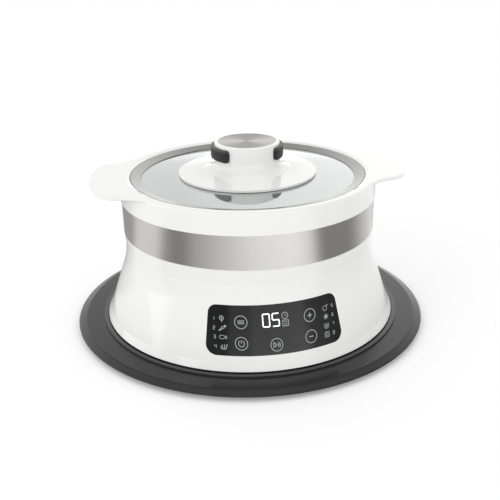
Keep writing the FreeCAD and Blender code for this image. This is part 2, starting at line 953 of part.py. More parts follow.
def tube_along(points, bend, radius):
    """A round tube along straight runs joined by tangent arcs."""
    edges = []
    start = points[0]
    for before, corner, after in zip(points, points[1:], points[2:]):
        arrive = (corner - before).normalize()
        leave = (after - corner).normalize()
        half_turn = arrive.getAngle(leave) / 2
        trim = bend * math.tan(half_turn)
        arc_start = corner - arrive * trim
        arc_end = corner + leave * trim
        middle_way = (leave - arrive).normalize()
        to_middle = bend / math.cos(half_turn) - bend
        edges.append(Part.LineSegment(start, arc_start).toShape())
        edges.append(Part.Arc(arc_start, corner + middle_way * to_middle, arc_end).toShape())
        start = arc_end
    edges.append(Part.LineSegment(start, points[-1]).toShape())
    path = Part.Wire(edges)
    circle = Part.Circle(points[0], points[1] - points[0], radius)
    section = Part.Wire([circle.toShape()])
    return path.makePipeShell([section], True, True)


def make_heater_leads():
    """Two insulated leads from the element's cold ends to the power board."""
    top = heater_bottom.value - SIZES["element_radius"] * 2 - SIZES["terminal_length"]
    low = board_top.value
    run_level = (top + low) / 2
    leads = []
    for x, y in element_ends():
        side = math.copysign(1.0, x.value)
        far = SIZES["power_board_near"] + SIZES["lead_landing"]
        across = side * SIZES["lead_spread"]
        leads.append(tube_along([
            FreeCAD.Vector(x.value, y.value, top),
            FreeCAD.Vector(x.value, y.value, run_level),
            FreeCAD.Vector(across, far, run_level),
            FreeCAD.Vector(across, far, low),
        ], SIZES["lead_bend"], SIZES["lead_radius"]))
    made = doc.addObject("Part::Feature", "heater_leads")
    made.Shape = Part.makeCompound(leads)
    keep(made, "heater_leads")


# Mains inlet at the back, tilted with the cone


def tilted_frame(level, quarter_turns):
    """A frame on the cone's face: its Y runs inwards, square to the face, and its Z runs up the face."""
    tilt = math.degrees(math.atan(cone_slope.value))
    place = FreeCAD.Vector(0, -cone_at(level).value, as_size(level).value)
    spin = FreeCAD.Placement(FreeCAD.Vector(), FreeCAD.Rotation(FreeCAD.Vector(0, 0, 1), 90 * quarter_turns))
    lean = FreeCAD.Placement(place, FreeCAD.Rotation(FreeCAD.Vector(1, 0, 0), -tilt))
    return spin.multiply(lean)


def make_mains_inlet():
    wide = size("inlet_width")
    tall = size("inlet_height")
    depth = size("inlet_depth")
    border = size("inlet_flange")
    wall = size("inlet_wall")
    proud = size("inlet_proud")
    body = frame_box(inlet_frame, "inlet_body", wide, depth, tall, -wide / 2, -proud / 2, -tall / 2)
    plate = frame_box(inlet_frame, "inlet_plate", wide + 2 * border, 2 * proud, tall + 2 * border,
                      -(wide / 2 + border), -proud, -(tall / 2 + border))
    flange = cut("inlet_flange", plate, make_cone_solid("inlet_seat_cone", as_size(0)))
    cavity = frame_box(inlet_frame, "inlet_cavity", wide - 2 * wall, size("inlet_cavity_depth") + proud,
                       tall - 2 * wall, -(wide / 2 - wall), -proud, -(tall / 2 - wall))
    keep(cut("mains_inlet", fuse("inlet_solid", body, flange), cavity), "mains_inlet")
    floor = size("inlet_cavity_depth")
    pin_wide = size("inlet_pin_width")
    pin_thin = size("inlet_pin_thickness")
    pins = [
        frame_box(inlet_frame, f"inlet_pin_{number}", pin_thin, size("inlet_pin_length"), pin_wide,
                  column * size("inlet_pin_pitch") - pin_thin / 2, floor - size("inlet_pin_length"),
                  row * size("inlet_pin_thickness") - pin_wide / 2)
        for number, (column, row) in enumerate(((-1, -1), (0, 1), (1, -1)))
    ]
    keep(group("inlet_pins", pins), "inlet_pins")


# Control panel: lens, tape, board, display, light guides, touch pads and carrier


def make_lens_and_tape():
    gap = size("panel_clearance")
    back = size("lens_thickness")
    ring = cut("lens_ring", make_cone_solid("lens_front", as_size(0)), make_cone_solid("lens_back", back))
    keep(common("panel_lens", ring, make_panel_prism("lens_prism", gap, as_size(0))), "panel_lens")
    tape_front = back + size("fit")
    tape_ring = cut("tape_ring", make_cone_solid("tape_front", tape_front),
                    make_cone_solid("tape_back", lens_seat_depth))
    frame = common("tape_frame", tape_ring, make_panel_prism("tape_prism", gap, as_size(0)))
    window = make_panel_prism("tape_window", as_size(0), size("panel_ledge"))
    keep(cut("panel_tape", frame, window), "panel_tape")


def make_control_board():
    depth = size("control_board_depth")
    half = size("control_board_half")
    tall = size("control_board_height")
    back = depth + size("board_thickness")
    keep(frame_box(panel_frame, "control_board", 2 * half, size("board_thickness"), tall,
                   -half, depth, -tall / 2), "control_board")
    wide = size("display_width")
    front = size("display_depth")
    keep(frame_box(panel_frame, "display_module", wide, depth - front, size("display_height"),
                   size("display_offset") - wide / 2, front,
                   size("display_rise") - size("display_height") / 2), "display_module")
    guides = [
        frame_box(panel_frame, f"light_guide_{number}", size("guide_width"), depth - size("guide_depth"),
                  size("guide_height"), side * size("guide_place") - size("guide_width") / 2,
                  size("guide_depth"), -size("guide_height") / 2)
        for number, side in enumerate((-1, 1))
    ]
    keep(group("light_guides", guides), "light_guides")
    column = size("touch_column")
    side_front = size("touch_side_depth")
    middle_front = size("touch_middle_depth")
    keys = [
        (-column, size("touch_upper"), side_front),
        (-column, size("touch_lower"), side_front),
        (as_size(0), size("touch_middle"), middle_front),
        (column, size("touch_upper"), side_front),
        (column, size("touch_lower"), side_front),
    ]
    pads = [
        frame_post(panel_frame, f"touch_pad_{number}", size("touch_radius"), depth - front_face,
                   x, front_face, z)
        for number, (x, z, front_face) in enumerate(keys)
    ]
    keep(group("touch_pads", pads), "touch_pads")
    keep(frame_post(panel_frame, "buzzer", size("buzzer_radius"), size("buzzer_height"), 0, back, 0),
         "buzzer")
    inset = size("carrier_post_inset")
    place = half - inset
    rise = tall / 2 - inset
    posts = [
        frame_post(panel_frame, f"carrier_post_{number}", size("carrier_post_radius"),
                   size("carrier_depth") - back, x, back, z)
        for number, (x, z) in enumerate(((-place, -rise), (place, -rise), (-place, rise), (place, rise)))
    ]
    carrier_half = size("carrier_half")
    slab = frame_box(panel_frame, "carrier_slab", 2 * carrier_half, size("carrier_thickness"), tall,
                     -carrier_half, size("carrier_depth"), -tall / 2)
    inside = make_cone_solid("carrier_cone", size("shell_wall") + size("fit"))
    keep(fuse("board_carrier", common("carrier_plate", slab, inside), *posts), "board_carrier")


# Bowl rim with its two handles, cooking bowl and seal


def handle_outline():
    reach_in = size("rim_inner") / 2
    half = [
        (size("handle_end"), size("handle_end_half")),
        (size("handle_neck_reach"), size("handle_neck_half")),
        (size("handle_root_reach"), size("handle_root_half")),
        (reach_in, size("handle_root_half")),
    ]
    right = half + [(x, -y) for x, y in reversed(half)]
    return right


def make_handle(name, side):
    """A flat paddle with a round tip, rounded corners and a soft waist where it meets the rim."""
    outline = [(side * x, side * y) for x, y in handle_outline()]
    plate = padded(f"{name}_plate", "XY_Plane", outline, size("handle_thickness"))
    place_at(plate, 0, 0, size("rim_top") - size("handle_thickness"))
    tip = cylinder(f"{name}_tip", size("handle_tip"), size("rim_top"))
    shaped = common(f"{name}_shaped", plate, tip)
    upright = runs_along(FreeCAD.Vector(0, 0, 1))
    neck = SIZES["handle_neck_reach"]
    root = SIZES["handle_root_reach"]
    past_neck = (neck + SIZES["handle_tip"]) / 2
    cornered = rounded(shaped, f"{name}_cornered", "handle_corner",
                       lambda edge: upright(edge) and abs(edge.CenterOfMass.x) > past_neck)
    bent = rounded(cornered, f"{name}_bent", "handle_bend",
                   lambda edge: upright(edge) and abs(abs(edge.CenterOfMass.x) - neck) < NEAR)
    return rounded(bent, f"{name}_rounded", "handle_round",
                   lambda edge: not upright(edge) and abs(edge.CenterOfMass.x) > root)


def make_bowl_rim():
    outer = size("rim_radius")
    inner = size("rim_inner")
    top = size("rim_top")
    low = size("shell_top") + size("rest_gap")
    ledge = size("rim_ledge")
    throat = size("rim_throat")
    seat = tub_flange_top + size("rest_gap")
    skirt_in = tub_flange_radius + size("lift_gap")
    slope_low = top - size("rim_slope_drop")
    ring = turned("rim_ring", [
        (outer, low),
        (outer, top),
        (size("rim_slope_top"), top),
        (inner, slope_low),
        (inner, ledge),
        (throat, ledge),
        (throat, ledge - size("rim_under")),
        (inner, ledge - size("rim_under")),
        (inner, seat),
        (size("seal_inner"), seat),
        (size("seal_inner"), seat + size("seal_depth")),
        (size("seal_outer"), seat + size("seal_depth")),
        (size("seal_outer"), seat),
        (skirt_in, seat),
        (skirt_in, low),
    ])
    round_body_edges(ring, size("rim_round"), is_ring(outer, top))
    left = make_handle("left_handle", -1)
    right = make_handle("right_handle", 1)
    bore = cylinder("rim_bore", size("rim_slope_top"), 3 * size("handle_thickness"), 0, 0,
                    top - 2 * size("handle_thickness"))
    handles = cut("both_handles", fuse("handle_pair", left, right), bore)
    keep(fuse("bowl_rim", ring, handles), "bowl_rim")
    keep(turned("bowl_seal", [
        (size("seal_inner"), seat - size("rest_gap") / 2),
        (size("seal_outer"), seat - size("rest_gap") / 2),
        (size("seal_outer"), seat + size("seal_depth")),
        (size("seal_inner"), seat + size("seal_depth")),
    ]), "bowl_seal")


def make_cooking_bowl():
    wall = size("bowl_wall")
    mouth = size("bowl_mouth")
    foot = size("bowl_foot")
    floor = size("bowl_floor")
    under = size("rim_ledge")
    keep(turned("cooking_bowl", [
        (size("bowl_opening"), floor),
        (foot + wall, floor),
        (mouth + wall, under),
        (size("bowl_flange_radius"), under),
        (size("bowl_flange_radius"), bowl_flange_top),
        (mouth, bowl_flange_top),
        (foot, grid_seat),
        (size("bowl_opening"), grid_seat),
    ]), "cooking_bowl")


def make_steam_grid():
    """A perforated plate with a low rim and two finger holes, which rests on the bowl's inner ledge."""
    low = grid_seat + size("rest_gap")
    thick = size("grid_thickness")
    outer = size("grid_radius")
    plate = turned("grid_plate", [
        (0, low),
        (outer, low),
        (outer, low + size("grid_rim_rise")),
        (outer - thick, low + size("grid_rim_rise")),
        (outer - thick, low + thick),
        (0, low + thick),
    ])
    holes = []
    pitch = size("bowl_opening") / (len(GRID_HOLES) + 1)
    for ring, count in GRID_HOLES.items():
        for x, y, _ in around(pitch * ring, count, 180.0 / count):
            holes.append(cylinder(f"grid_hole_{len(holes)}", size("grid_hole_radius"), thick, x, y, low))
    keep(cut("steam_grid", plate, group("grid_holes", holes)), "steam_grid")


def make_drip_tray():
    low = size("tub_ledge") + size("rest_gap")
    wall = size("drip_wall")
    top = low + size("drip_height")
    outer = size("drip_radius")
    opening = size("drip_opening")
    keep(turned("drip_tray", [
        (opening, low),
        (outer, low),
        (outer, top),
        (outer - wall, top),
        (outer - wall, low + wall),
        (opening + wall, low + wall),
        (opening + wall, top),
        (opening, top),
    ]), "drip_tray")


# Lid: glass, metal ring, seal, knob and its fixings


def make_lid_glass():
    """A shallow dome of even thickness with a hole for the knob's screw."""
    dome = SIZES["glass_dome"]
    crown = SIZES["glass_crown"]
    upper = Part.makeSphere(dome, FreeCAD.Vector(0, 0, crown - dome))
    lower = Part.makeSphere(dome, FreeCAD.Vector(0, 0, crown - dome - SIZES["glass_thickness"]))
    reach = SIZES["glass_radius"]
    rise = 3 * SIZES["glass_thickness"]
    blank = Part.makeCylinder(reach, 2 * rise, FreeCAD.Vector(0, 0, crown - rise))
    hole = Part.makeCylinder(SIZES["glass_hole"], 2 * rise, FreeCAD.Vector(0, 0, crown - rise))
    made = doc.addObject("Part::Feature", "lid_glass")
    made.Shape = blank.common(upper).cut(lower).cut(hole)
    keep(made, "lid_glass")


def make_lid_ring():
    outer = size("lid_radius")
    inner = size("lid_ring_inner")
    wall = size("lid_ring_wall")
    edge = size("glass_radius") + size("fit")
    keep(turned("lid_ring", [
        (outer, size("lid_ring_bottom")),
        (outer, size("lid_edge_top")),
        (outer - size("lid_ring_wall") / 2, size("lid_edge_top")),
        (inner, glass_top_at(inner) + wall / 2),
        (inner, glass_top_at(inner)),
        (edge, glass_top_at(edge)),
        (edge, glass_top_at(edge) - size("glass_thickness")),
        (outer - wall, glass_top_at(edge) - size("glass_thickness")),
        (outer - wall, size("lid_ring_bottom")),
    ]), "lid_ring")
    seal_low = bowl_flange_top + size("rest_gap")
    outer_edge = size("lid_seal_outer")
    chamfer = size("rest_gap") * 5
    middle = size("lid_seal_inner") + 2 * chamfer
    under_glass = glass_top_at(outer_edge) - size("glass_thickness")
    keep(turned("lid_seal", [
        (size("lid_seal_inner"), seal_low + chamfer),
        (middle, seal_low),
        (outer_edge, seal_low),
        (outer_edge, under_glass),
        (size("lid_seal_inner"), under_glass),
    ]), "lid_seal")


def make_knob():
    neck = size("neck_radius")
    wall = size("knob_wall")
    top = size("knob_top")
    recess = size("disc_thickness") + size("disc_recess")
    disc_seat = top - recess
    roof_low = disc_seat - wall
    core = size("slot_radius") - wall
    washer_top = size("glass_crown") + size("washer_thickness")
    knob = turned("knob_solid", [
        (0, washer_top),
        (size("washer_radius"), washer_top),
        (size("washer_radius"), size("slot_bottom")),
        (core, size("slot_bottom")),
        (core, size("neck_foot") - wall),
        (size("skirt_rise_radius"), size("skirt_rise_top") - wall),
        (size("skirt_radius") - wall, size("skirt_edge_bottom")),
        (size("skirt_radius"), size("skirt_edge_bottom")),
        (size("skirt_radius"), size("skirt_edge_top")),
        (size("skirt_rise_radius"), size("skirt_rise_top")),
        (neck, size("neck_foot")),
        (neck, top),
        (size("disc_radius") + size("fit"), top),
        (size("disc_radius") + size("fit"), disc_seat),
        (0, disc_seat),
    ])
    round_body_edges(knob, size("knob_round"), is_ring(neck, top))
    round_body_edges(knob, size("neck_flare"), is_ring(neck, size("neck_foot")))
    past = neck + size("cut_past")
    slots = [
        grip_band(f"slot_{side}", side, size("slot_radius"), past, as_size(0), GRIP_SPREAD)
        for side in (-1, 1)
    ]
    hollow = cylinder("knob_screw_well", size("knob_screw_head") + size("rest_gap"),
                      disc_seat - size("slot_bottom"), 0, 0, size("slot_bottom"))
    bore = cylinder("knob_screw_bore", size("knob_screw_radius"), top - washer_top, 0, 0, washer_top)
    keep(cut("knob_body", knob, *slots, hollow, bore), "knob_body")
    keep(cylinder("knob_disc", size("disc_radius"), size("disc_thickness"), 0, 0, disc_seat), "knob_disc")
    for side, label in ((-1, "left_grip"), (1, "right_grip")):
        band = grip_band(f"{label}_band", side, size("slot_radius") + size("fit"), size("grip_radius"),
                         size("fit"), 0.0)
        keep(round_grip(band, label), label)
    make_knob_fixings(washer_top)


def grip_band(name, side, inner, outer, gap, spread):
    """A curved block on one side of the knob, which wraps round it by the grip's half angle and a spread."""
    half = math.radians(SIZES["grip_half_angle"] + spread)
    low = size("slot_bottom") + gap
    rise = size("slot_top") - size("slot_bottom") - 2 * gap
    ring = cut(f"{name}_ring", cylinder(f"{name}_outer", outer, rise, 0, 0, low),
               cylinder(f"{name}_inner", inner, rise, 0, 0, low))
    reach = 2 * size("grip_radius")
    spread_half = reach * round(math.tan(half), 9)
    wedge = padded(f"{name}_wedge", "XY_Plane",
                   [(0, 0), (side * reach, -side * spread_half), (side * reach, side * spread_half)],
                   size("knob_top"))
    return rounded(common(f"{name}_block", ring, wedge), name, "grip_corner", runs_outwards)


def runs_outwards(edge):
    """Picks the straight edges that run out from the knob's axis."""
    ends = [math.hypot(vertex.X, vertex.Y) for vertex in edge.Vertexes]
    return abs(ends[0] - ends[-1]) > NEAR


def round_grip(band, label):
    """Rounds the rim of the grip's outer face."""

    def on_outer_face(edge):
        ends = [math.hypot(vertex.X, vertex.Y) for vertex in edge.Vertexes]
        return min(ends) > SIZES["grip_radius"] - NEAR

    return rounded(band, label, "grip_round", on_outer_face)


def make_knob_fixings(washer_top):
    thickness = size("glass_thickness")
    crown = size("glass_crown")
    hole = size("glass_hole")
    keep(turned("knob_washer", [
        (hole, crown),
        (size("washer_radius"), crown),
        (size("washer_radius"), washer_top),
        (hole, washer_top),
    ]), "knob_washer")
    retainer_top = glass_top_at(size("retainer_radius")) - thickness
    keep(turned("knob_retainer", [
        (size("knob_screw_radius"), retainer_top - size("retainer_thickness")),
        (size("retainer_radius"), retainer_top - size("retainer_thickness")),
        (size("retainer_radius"), retainer_top),
        (size("knob_screw_radius"), retainer_top),
    ]), "knob_retainer")
    shank = size("knob_screw_radius") - size("fit") / 2
    low = retainer_top - size("retainer_thickness")
    head_low = size("slot_bottom")
    keep(turned("knob_screw", [
        (0, low),
        (shank, low),
        (shank, head_low),
        (size("knob_screw_head"), head_low),
        (size("knob_screw_head"), head_low + size("screw_head_height")),
        (0, head_low + size("screw_head_height")),
    ]), "knob_screw")


panel_frame = tilted_frame((size("panel_bottom") + size("panel_top")) / 2, 0)
inlet_frame = tilted_frame(size("inlet_level"), 2)
make_base_tray()
make_housing_shell()
make_trim_band()
make_bottom_cover()
make_water_tub()
make_heater()
make_thermal_parts()
make_steam_ring()
make_heat_shield()
make_power_board()
make_heater_leads()
make_mains_inlet()
make_lens_and_tape()
make_control_board()
make_bowl_rim()
make_cooking_bowl()
make_steam_grid()
make_drip_tray()
make_lid_glass()
make_lid_ring()
make_knob()
doc.recompute()


def check_and_write():
    for each in doc.Objects:
        if "Invalid" in each.State or "Error" in each.State:
            raise RuntimeError(f"{each.Label} failed: {each.State}")
    for each in PARTS:
        if each.Shape.isNull() or not each.Shape.isValid():
            raise RuntimeError(f"{each.Label} has no valid shape")
    os.makedirs("parts", exist_ok=True)
    for each in PARTS:
        each.Shape.exportStep(f"parts/{each.Label}.step")
        count = len(each.Shape.Solids)
        print(f"{each.Label}: {count} solids, {each.Shape.Volume / 1000:.2f} cm3")


check_and_write()
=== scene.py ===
import json
import math

import bmesh
import bpy
from mathutils import Matrix, Vector


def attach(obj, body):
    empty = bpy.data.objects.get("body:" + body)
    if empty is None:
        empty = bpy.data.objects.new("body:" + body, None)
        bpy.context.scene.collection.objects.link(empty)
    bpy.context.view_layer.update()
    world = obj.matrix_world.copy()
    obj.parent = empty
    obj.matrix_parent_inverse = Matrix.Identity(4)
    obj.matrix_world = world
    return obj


bl_info = {
    "name": "Electric Food Steamer",
    "version": (1, 0, 0),
    "blender": (4, 5, 0),
    "location": "View3D > Sidebar > Steamer",
    "description": "Dresses the CAD model of a round electric food steamer for a studio picture",
    "category": "Object",
}

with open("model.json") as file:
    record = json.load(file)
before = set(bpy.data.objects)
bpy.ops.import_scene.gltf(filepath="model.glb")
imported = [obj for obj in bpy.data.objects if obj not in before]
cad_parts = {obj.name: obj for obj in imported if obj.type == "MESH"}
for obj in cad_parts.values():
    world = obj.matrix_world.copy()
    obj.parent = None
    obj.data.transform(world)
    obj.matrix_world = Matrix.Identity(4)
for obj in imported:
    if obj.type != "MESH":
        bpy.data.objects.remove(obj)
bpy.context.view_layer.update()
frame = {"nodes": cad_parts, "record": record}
NODES = frame["nodes"]

# The camera stands a little left of the panel's middle, and the frame is tilted by a degree.
# Distances are in metres, angles in degrees, and the lens and the sensor in millimetres.
CAMERA_TURN = 10.1
CAMERA_DISTANCE = 0.7644
CAMERA_HEIGHT = 0.3877
CAMERA_PITCH = 22.61
CAMERA_YAW = 0.09
CAMERA_ROLL = -1.049
CAMERA_LENS = 55.45
CAMERA_SENSOR = 36.0
CAMERA_NEAR, CAMERA_FAR = 0.05, 60.0

# The housing's cone, from its crease to its waist, and how far the panel's print stands off it.
CREASE_LEVEL, CREASE_RADIUS = 0.0185, 0.1495
CONE_LEVEL, CONE_RADIUS = 0.0727, 0.1303
PRINT_PROUD = 0.00005
# Points of a drawing that lie closer together than this, in metres, become one.
MERGE_REACH = 1e-7
MILLIMETRES_PER_METRE = 1000

# The tray's collar round the housing's foot ends at the first radius, and its bevelled edge starts
# at the second. Inside the first the colour is painted paler to lift the shade in the groove by the foot,
# and beyond the second it is painted paler as a highlight on the lit edge. Each change is spread over a
# short blend.
TRAY_COLLAR, TRAY_BEVEL = 0.1592, 0.1768
TRAY_BLEND = 0.0008
# The tool's grain is about 0.05 mm and is drawn at 0.3 mm, so that it just breaks up the sheen.
GRAIN_SPACING, GRAIN_DEPTH = 0.0003, 0.00001
# The level above which the knob's grips are painted paler as a painted highlight on their lit top ledge,
# and the height of that blend.
GRIP_LEDGE, GRIP_BLEND = 0.1836, 0.0009


def linear(code):
    """A colour written as an sRGB hex code, as linear red, green, blue and alpha."""
    parts = [int(code[place:place + 2], 16) / 255 for place in (1, 3, 5)]
    return [*[part / 12.92 if part <= 0.04045 else ((part + 0.055) / 1.055) ** 2.4 for part in parts], 1.0]


def add(tree, kind, settings=None, links=None, stops=()):
    """A node with its settings, links and colour stops.

    A setting is a socket's own value where the node has such a socket, and else a property of the node.
    """
    node = tree.nodes.new(kind)
    for name, value in (settings or {}).items():
        if isinstance(name, int) or name in node.inputs:
            node.inputs[name].default_value = value
        else:
            setattr(node, name, value)
    for name, source in (links or {}).items():
        tree.links.new(source, node.inputs[name])
    if stops:
        elements = node.color_ramp.elements
        elements.remove(elements[1])
        elements[0].position, elements[0].color = stops[0]
        for place, colour in stops[1:]:
            elements.new(place).color = colour
    return node


def new_material(name):
    material = bpy.data.materials.new(name)
    material.use_nodes = True
    material.node_tree.nodes.clear()
    return material


def finish_material(name, surface):
    """A material with one Principled surface and its plain values, its node tree and its shader."""
    material = new_material(name)
    tree = material.node_tree
    shader = add(tree, "ShaderNodeBsdfPrincipled", surface)
    add(tree, "ShaderNodeOutputMaterial", links={"Surface": shader.outputs[0]})
    return material, tree, shader


def moulded_white_abs():
    # White ABS from a polished tool: bright, clean and glossy, with a soft sheen of the room in it.
    look = bpy.context.scene.steamer_look
    return finish_material("white ABS, gloss moulded", {
        "Base Color": [*look.shell_colour, 1.0], "Roughness": 0.08, "IOR": 1.53})[0]


def moulded_dark_polypropylene():
    # Dark polypropylene from a fine textured tool: near black and satin, with a grey sheen at low angles.
    look = bpy.context.scene.steamer_look
    dark = [*look.tray_colour, 1.0]
    material, tree, shader = finish_material("dark polypropylene, satin moulded", {
        "Base Color": dark, "Roughness": 0.3, "IOR": 1.46})
    point = add(tree, "ShaderNodeTexCoord").outputs["Object"]
    # The collar round the housing is painted paler to lift the shade in its groove, and the bevelled edge
    # is painted paler as a painted highlight where it catches the light.
    flat = add(tree, "ShaderNodeVectorMath", {"operation": "MULTIPLY", 1: (1.0, 1.0, 0.0)}, {0: point})
    reach = add(tree, "ShaderNodeVectorMath", {"operation": "LENGTH"}, {0: flat.outputs[0]})
    painted_light_ramp = add(tree, "ShaderNodeValToRGB", links={"Fac": reach.outputs["Value"]}, stops=[
        (TRAY_COLLAR, linear("#464647")), (TRAY_COLLAR + TRAY_BLEND, dark),
        (TRAY_BEVEL - TRAY_BLEND, dark), (TRAY_BEVEL, linear("#323233"))])
    tree.links.new(painted_light_ramp.outputs[0], shader.inputs["Base Color"])
    grain = add(tree, "ShaderNodeTexNoise", {"Scale": 1 / GRAIN_SPACING, "Detail": 3.0}, {"Vector": point})
    bump = add(tree, "ShaderNodeBump", {"Strength": 0.12, "Distance": GRAIN_DEPTH}, {
        "Height": grain.outputs[0]})
    tree.links.new(bump.outputs[0], shader.inputs["Normal"])
    return material


def brushed_steel(name, colour, roughness, anisotropy):
    """Steel brushed in rings round the steamer's axis."""
    material, tree, shader = finish_material(name, {
        "Base Color": linear(colour), "Metallic": 1.0, "Roughness": roughness, "Anisotropic": anisotropy,
        "Anisotropic Rotation": 0.25})
    tangent = add(tree, "ShaderNodeTangent", {"direction_type": "RADIAL", "axis": "Z"})
    tree.links.new(tangent.outputs[0], shader.inputs["Tangent"])
    return material


def brushed_stainless_band():
    # Stainless strip brushed along its length: the brushing spreads light up and down, so the room
    # shows in it as grey stripes that stand upright.
    return brushed_steel("stainless steel strip, brushed lengthwise", "#D0CFCD", 0.33, 0.9)


def spun_steel_disc():
    # Steel disc turned on a lathe: fine rings that gather light in wedges through the middle.
    return brushed_steel("stainless steel disc, spin brushed", "#989795", 0.3, 0.85)


def satin_steel_ring():
    # Rolled stainless steel edge: a plain satin grey metal.
    return finish_material("stainless steel ring, satin rolled", {
        "Base Color": linear("#9E9E9B"), "Metallic": 1.0, "Roughness": 0.28})[0]


def spun_steel_bowl():
    # Spun stainless steel, polished inside: bright and a little soft.
    return finish_material("stainless steel bowl, spun and polished", {
        "Base Color": linear("#CFCDC9"), "Metallic": 1.0, "Roughness": 0.22})[0]


def tempered_glass():
    # Tempered soda-lime glass, seen at a low angle: half a mirror, with a thin grey-green haze of steam.
    return finish_material("soda-lime glass, tempered", {
        "Base Color": linear("#D9DEDC"), "Metallic": 0.47, "Roughness": 0.02, "IOR": 1.52,
        "Transmission Weight": 0.62})[0]


def soft_touch_rubber():
    # Black soft-touch rubber. Its top edge, under the knob's cap, is painted a paler grey as a painted
    # highlight where the ledge catches the light.
    material, tree, shader = finish_material("soft-touch rubber, black", {"Roughness": 0.45, "IOR": 1.5})
    point = add(tree, "ShaderNodeTexCoord").outputs["Object"]
    height = add(tree, "ShaderNodeSeparateXYZ", links={"Vector": point}).outputs["Z"]
    # Painted highlight: above the ledge level the rubber is painted a paler grey.
    painted_ledge_highlight = add(tree, "ShaderNodeValToRGB", links={"Fac": height}, stops=[
        (GRIP_LEDGE, linear("#1A1A1B")), (GRIP_LEDGE + GRIP_BLEND, linear("#505052"))])
    tree.links.new(painted_ledge_highlight.outputs[0], shader.inputs["Base Color"])
    return material


def plain(name, colour, roughness, metallic=0.0, ior=1.5):
    """An even finish. A metal keeps the shader's own IOR."""
    surface = {"Base Color": linear(colour), "Roughness": roughness, "Metallic": metallic}
    if not metallic:
        surface["IOR"] = ior
    return finish_material(name, surface)[0]


# Each material slot of the record, and what makes its finish.
FINISHES = {
    "tray_plastic": moulded_dark_polypropylene,
    "rubber_black": lambda: plain("silicone rubber, moulded black", "#1E1E1F", 0.6),
    "white_plastic": moulded_white_abs,
    "brushed_steel": brushed_stainless_band,
    "dark_plastic": lambda: plain("polypropylene, moulded dark grey", "#2C2C2E", 0.5),
    "zinc_steel": lambda: plain("steel screw, zinc plated", "#C8C8C4", 0.3, 1.0),
    "tub_plastic": lambda: plain("polypropylene, moulded grey", "#B4B6B6", 0.4),
    "cast_aluminium": lambda: plain("aluminium, cast and turned", "#BFC0C2", 0.35, 1.0),
    "silicone_grey": lambda: plain("silicone rubber, moulded grey", "#A9AAA8", 0.5),
    "element_steel": lambda: plain("steel tube, heat tinted", "#8A8178", 0.35, 1.0),
    "bakelite": lambda: plain("bakelite, moulded brown", "#3A2C22", 0.45),
    "sheet_aluminium": lambda: plain("aluminium sheet, bright rolled", "#D2D3D4", 0.25, 1.0),
    "board_green": lambda: plain("circuit board, green solder mask", "#2C6B43", 0.35),
    "component_black": lambda: plain("epoxy component case, moulded black", "#232325", 0.45),
    "component_yellow": lambda: plain("film capacitor case, moulded yellow", "#D9B23C", 0.35),
    "capacitor_blue": lambda: plain("capacitor sleeve, shrunk blue", "#2C3F86", 0.3),
    "lead_silicone": lambda: plain("silicone lead, extruded red", "#C23A2E", 0.45),
    "brass": lambda: plain("brass, turned", "#CBA45C", 0.28, 1.0),
    "panel_black": lambda: plain("acrylic panel, polished black", "#0A0B0C", 0.06, ior=1.49),
    "display_white": lambda: plain("light box, moulded white", "#E6E6E4", 0.4),
    "light_guide_clear": lambda: plain("acrylic light guide, frosted", "#E8EAEC", 0.3),
    "foam_black": lambda: plain("conductive foam, black", "#242426", 0.8),
    "stainless_bowl": spun_steel_bowl,
    "lid_glass": tempered_glass,
    "ring_steel": satin_steel_ring,
    "disc_steel": spun_steel_disc,
    "grip_black": soft_touch_rubber,
}


def finish_for(slot):
    """The slot's material, made once and then found by the name that the scene keeps for the slot."""
    held = bpy.context.scene.get("steamer_finishes")
    made = dict(held) if held else {}
    if slot not in made:
        made[slot] = FINISHES[slot]().name
        bpy.context.scene["steamer_finishes"] = made
    return bpy.data.materials[made[slot]]


def dress(*nodes):
    """Gives CAD pieces the finish of their slot."""
    slots = {part["node"]: part["material_slot"] for part in frame["record"]["subparts"]}
    for node in nodes:
        mesh = NODES[node].data
        mesh.materials.clear()
        mesh.materials.append(finish_for(slots[node]))


def piece_from(form, name, material, body):
    """Turns a finished form into a piece that rides on its body."""
    bmesh.ops.remove_doubles(form, verts=form.verts, dist=MERGE_REACH)
    mesh = bpy.data.meshes.new(name)
    form.to_mesh(mesh)
    form.free()
    mesh.materials.append(material)
    made = bpy.data.objects.new(name, mesh)
    bpy.context.scene.collection.objects.link(made)
    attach(made, body)
    return made


# Marks on the panel, drawn flat in millimetres across and up from the panel's middle line and the
# steamer's standing face, and then laid on the cone.
KEY_RADIUS, KEY_LINE = 5.9, 0.62
MODE_KEY, POWER_KEY, START_KEY = (-32.5, 54.4), (-33.4, 35.7), (-1.1, 33.4)
MORE_KEY, LESS_KEY = (32.8, 54.5), (32.9, 35.7)
SIGN_LINE, SUM_LINE, ICON_LINE, FINE_LINE = 0.65, 0.75, 0.45, 0.4

# The display's two digits, with the clock and the square beside them.
DIGIT_PLACES, DIGIT_LEVEL = (-9.4, -0.4), 55.3
DIGIT_WIDE, DIGIT_TALL, DIGIT_LINE = 6.2, 11.1, 1.0
CLOCK, CLOCK_RADIUS = (8.4, 58.2), 3.1
SQUARE, SQUARE_WIDE, SQUARE_TALL = (8.8, 51.6), 5.6, 5.0
DISPLAY_LINE = 0.55

# The programmes: four icons down each side, and their numbers outside them.
ICON_PLACE, NUMBER_PLACE = 49.5, 56.8
LEFT_LEVELS, RIGHT_LEVELS = (56.9, 48.6, 40.9, 32.5), (57.5, 49.5, 41.5, 33.6)
NUMBER_WIDE, NUMBER_TALL = 1.6, 2.8

# How finely rings, discs and bars are cut, so that they can follow the cone.
RING_SIDES, DISC_SIDES, BAR_CUTS = 48, 24, 6
# The turn of a bar that stands upright, in degrees.
UPRIGHT = 90
# How far a bar of a digit falls short of its corners, as a share of its width.
BAR_GAP = 0.45


